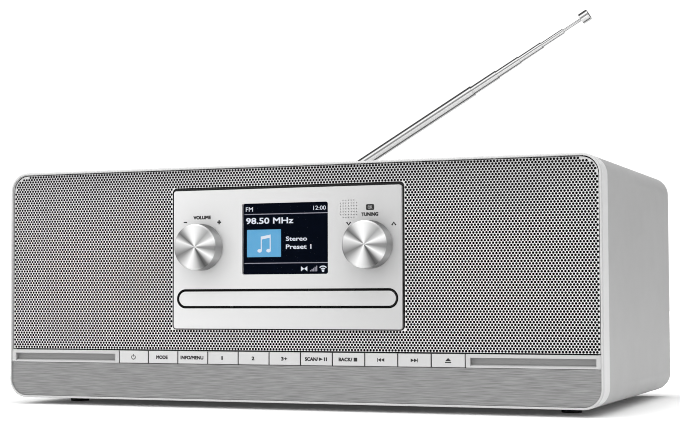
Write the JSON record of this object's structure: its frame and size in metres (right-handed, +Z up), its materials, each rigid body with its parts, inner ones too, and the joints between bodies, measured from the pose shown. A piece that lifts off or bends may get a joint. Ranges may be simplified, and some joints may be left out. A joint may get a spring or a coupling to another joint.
{
  "type": "tabletop radio",
  "caption": "Wide tabletop stereo radio with perforated front, silver control panel, two knobs, colour display, disc drawer, row of keys and telescopic antenna.",
  "frame": {"origin": "centre of the whole model's footprint, on the surface that the feet stand on", "axes": "+Z up, -Y towards the front with the knobs and keys, +X to the right as seen from the front"},
  "size_m": [0.36, 0.2144, 0.2502],
  "materials": {
    "cabinet_grey": "satin",
    "frame_silver": "satin",
    "rear_black": "fine texture",
    "inner_black": "matt",
    "foot_rubber": "matt",
    "grille_metal": "perforated, satin silver paint",
    "brushed_aluminium": "brushed lengthways",
    "panel_silver": "satin silver",
    "display_glass": "clear, glossy",
    "display_black": "dark blue screen",
    "circuit_board": "solder mask",
    "part_metal": "plated",
    "knob_aluminium": "spun",
    "key_plastic": "satin",
    "basket_steel": "stamped, dark",
    "cone_black": "paper and rubber",
    "magnet_steel": "ferrite",
    "drive_plastic": "moulded",
    "white_plastic": "moulded",
    "screw_steel": "zinc plated",
    "antenna_chrome": "polished"
  },
  "bodies": {
    "cabinet": {"cabinet_shell": "cabinet_grey", "front_frame": "frame_silver", "rear_cover": "rear_black", "rear_screws": "screw_steel", "feet": "foot_rubber", "front_baffle": "inner_black", "tray_collar": "inner_black", "speaker_grille": "grille_metal", "lower_panel": "brushed_aluminium", "slot_trims": "frame_silver", "control_panel": "panel_silver", "display_window": "display_glass", "display_module": "display_black", "front_board": "circuit_board", "volume_encoder": "part_metal", "tuning_encoder": "part_metal", "key_board": "circuit_board", "key_switches": "inner_black", "speaker_frames": "basket_steel", "speaker_cones": "cone_black", "speaker_magnets": "magnet_steel", "drive_chassis": "drive_plastic", "clamp_bridge": "basket_steel", "loading_motor": "part_metal", "spindle_motor": "part_metal", "main_board": "circuit_board", "power_inlet": "inner_black", "jack_block": "inner_black", "antenna_base": "inner_black"},
    "volume_control": {"volume_shaft": "part_metal", "volume_knob": "knob_aluminium"},
    "tuning_stem": {"tuning_shaft": "part_metal"},
    "tuning_cap": {"tuning_knob": "knob_aluminium"},
    "key_power": {"key_power": "key_plastic"},
    "key_mode": {"key_mode": "key_plastic"},
    "key_menu": {"key_menu": "key_plastic"},
    "key_one": {"key_one": "key_plastic"},
    "key_two": {"key_two": "key_plastic"},
    "key_three_plus": {"key_three_plus": "key_plastic"},
    "key_scan": {"key_scan": "key_plastic"},
    "key_back": {"key_back": "key_plastic"},
    "key_previous": {"key_previous": "key_plastic"},
    "key_next": {"key_next": "key_plastic"},
    "key_eject": {"key_eject": "key_plastic"},
    "disc_drawer": {"disc_tray": "drive_plastic", "tray_front": "panel_silver"},
    "drawer_pinion": {"loading_pinion": "white_plastic"},
    "spindle": {"spindle_hub": "white_plastic"},
    "clamp": {"disc_clamp": "white_plastic"},
    "sled": {"laser_sled": "drive_plastic"},
    "sled_wheel": {"sled_gear": "white_plastic"},
    "antenna_foot": {"antenna_swivel": "antenna_chrome", "antenna_pin": "antenna_chrome"},
    "antenna_1": {"antenna_section_1": "antenna_chrome"},
    "antenna_2": {"antenna_section_2": "antenna_chrome"},
    "antenna_3": {"antenna_section_3": "antenna_chrome"},
    "antenna_4": {"antenna_section_4": "antenna_chrome"},
    "antenna_5": {"antenna_section_5": "antenna_chrome"},
    "antenna_6": {"antenna_section_6": "antenna_chrome", "antenna_tip": "antenna_chrome"}
  },
  "joints": [
    {"name": "volume_turn", "type": "hinge", "parent": "cabinet", "child": "volume_control", "pos_m": [-0.0514, -0.09695, 0.0917], "axis": [0, 1, 0], "continuous": true},
    {"name": "tuning_turn", "type": "hinge", "parent": "cabinet", "child": "tuning_stem", "pos_m": [0.0514, -0.09695, 0.0917], "axis": [0, 1, 0], "continuous": true},
    {"name": "tuning_push", "type": "slide", "parent": "tuning_stem", "child": "tuning_cap", "axis": [0, 1, 0], "range_m": [0, 0.0006], "stiffness_N_per_m": 900, "springref_m": -0.0006},
    {"name": "key_power_press", "type": "slide", "parent": "cabinet", "child": "key_power", "axis": [0, 1, 0], "range_m": [0, 0.0008], "stiffness_N_per_m": 700, "springref_m": -0.0008},
    {"name": "key_mode_press", "type": "slide", "parent": "cabinet", "child": "key_mode", "axis": [0, 1, 0], "range_m": [0, 0.0008], "stiffness_N_per_m": 700, "springref_m": -0.0008},
    {"name": "key_menu_press", "type": "slide", "parent": "cabinet", "child": "key_menu", "axis": [0, 1, 0], "range_m": [0, 0.0008], "stiffness_N_per_m": 700, "springref_m": -0.0008},
    {"name": "key_one_press", "type": "slide", "parent": "cabinet", "child": "key_one", "axis": [0, 1, 0], "range_m": [0, 0.0008], "stiffness_N_per_m": 700, "springref_m": -0.0008},
    {"name": "key_two_press", "type": "slide", "parent": "cabinet", "child": "key_two", "axis": [0, 1, 0], "range_m": [0, 0.0008], "stiffness_N_per_m": 700, "springref_m": -0.0008},
    {"name": "key_three_plus_press", "type": "slide", "parent": "cabinet", "child": "key_three_plus", "axis": [0, 1, 0], "range_m": [0, 0.0008], "stiffness_N_per_m": 700, "springref_m": -0.0008},
    {"name": "key_scan_press", "type": "slide", "parent": "cabinet", "child": "key_scan", "axis": [0, 1, 0], "range_m": [0, 0.0008], "stiffness_N_per_m": 700, "springref_m": -0.0008},
    {"name": "key_back_press", "type": "slide", "parent": "cabinet", "child": "key_back", "axis": [0, 1, 0], "range_m": [0, 0.0008], "stiffness_N_per_m": 700, "springref_m": -0.0008},
    {"name": "key_previous_press", "type": "slide", "parent": "cabinet", "child": "key_previous", "axis": [0, 1, 0], "range_m": [0, 0.0008], "stiffness_N_per_m": 700, "springref_m": -0.0008},
    {"name": "key_next_press", "type": "slide", "parent": "cabinet", "child": "key_next", "axis": [0, 1, 0], "range_m": [0, 0.0008], "stiffness_N_per_m": 700, "springref_m": -0.0008},
    {"name": "key_eject_press", "type": "slide", "parent": "cabinet", "child": "key_eject", "axis": [0, 1, 0], "range_m": [0, 0.0008], "stiffness_N_per_m": 700, "springref_m": -0.0008},
    {"name": "drawer_slide", "type": "slide", "parent": "cabinet", "child": "disc_drawer", "axis": [0, -1, 0], "range_m": [0, 0.13]},
    {"name": "pinion_turn", "type": "hinge", "parent": "cabinet", "child": "drawer_pinion", "pos_m": [-0.045, -0.07145, 0.044], "axis": [0, 0, 1], "range_deg": [0, 1064.2]},
    {"name": "spindle_turn", "type": "hinge", "parent": "cabinet", "child": "spindle", "pos_m": [0, -0.02745, 0.054], "axis": [0, 0, 1], "continuous": true},
    {"name": "clamp_turn", "type": "hinge", "parent": "cabinet", "child": "clamp", "pos_m": [0, -0.02745, 0.07], "axis": [0, 0, 1], "continuous": true},
    {"name": "sled_slide", "type": "slide", "parent": "cabinet", "child": "sled", "axis": [0, 1, 0], "range_m": [0, 0.031]},
    {"name": "sled_wheel_turn", "type": "hinge", "parent": "cabinet", "child": "sled_wheel", "pos_m": [0.03, 0.01255, 0.049], "axis": [0, 0, 1], "range_deg": [-253.8, 0]},
    {"name": "antenna_turn", "type": "hinge", "parent": "cabinet", "child": "antenna_foot", "pos_m": [-0.0894, 0.10355, 0.12], "axis": [0, -1, 0], "range_deg": [-30.2, 149.8]},
    {"name": "antenna_fold", "type": "hinge", "parent": "antenna_foot", "child": "antenna_1", "pos_m": [-0.0894, 0.10355, 0.12], "axis": [-0.503, 0, 0.8643], "range_deg": [0, 90]},
    {"name": "antenna_slide_1", "type": "slide", "parent": "antenna_1", "child": "antenna_2", "axis": [0.8643, 0, 0.503], "range_m": [-0.0199, 0.103]},
    {"name": "antenna_slide_2", "type": "slide", "parent": "antenna_2", "child": "antenna_3", "axis": [0.8643, 0, 0.503], "range_m": [-0.0176, 0.1]},
    {"name": "antenna_slide_3", "type": "slide", "parent": "antenna_3", "child": "antenna_4", "axis": [0.8643, 0, 0.503], "range_m": [-0.0178, 0.096]},
    {"name": "antenna_slide_4", "type": "slide", "parent": "antenna_4", "child": "antenna_5", "axis": [0.8643, 0, 0.503], "range_m": [-0.0168, 0.092]},
    {"name": "antenna_slide_5", "type": "slide", "parent": "antenna_5", "child": "antenna_6", "axis": [0.8643, 0, 0.503], "range_m": [-0.0137, 0.091]}
  ],
  "couplings": [
    {"joint": "pinion_turn", "follows": "drawer_slide", "rad_per_m": 142.86},
    {"joint": "sled_wheel_turn", "follows": "sled_slide", "rad_per_m": -142.86},
    {"joint": "clamp_turn", "follows": "spindle_turn", "ratio": 1}
  ]
}
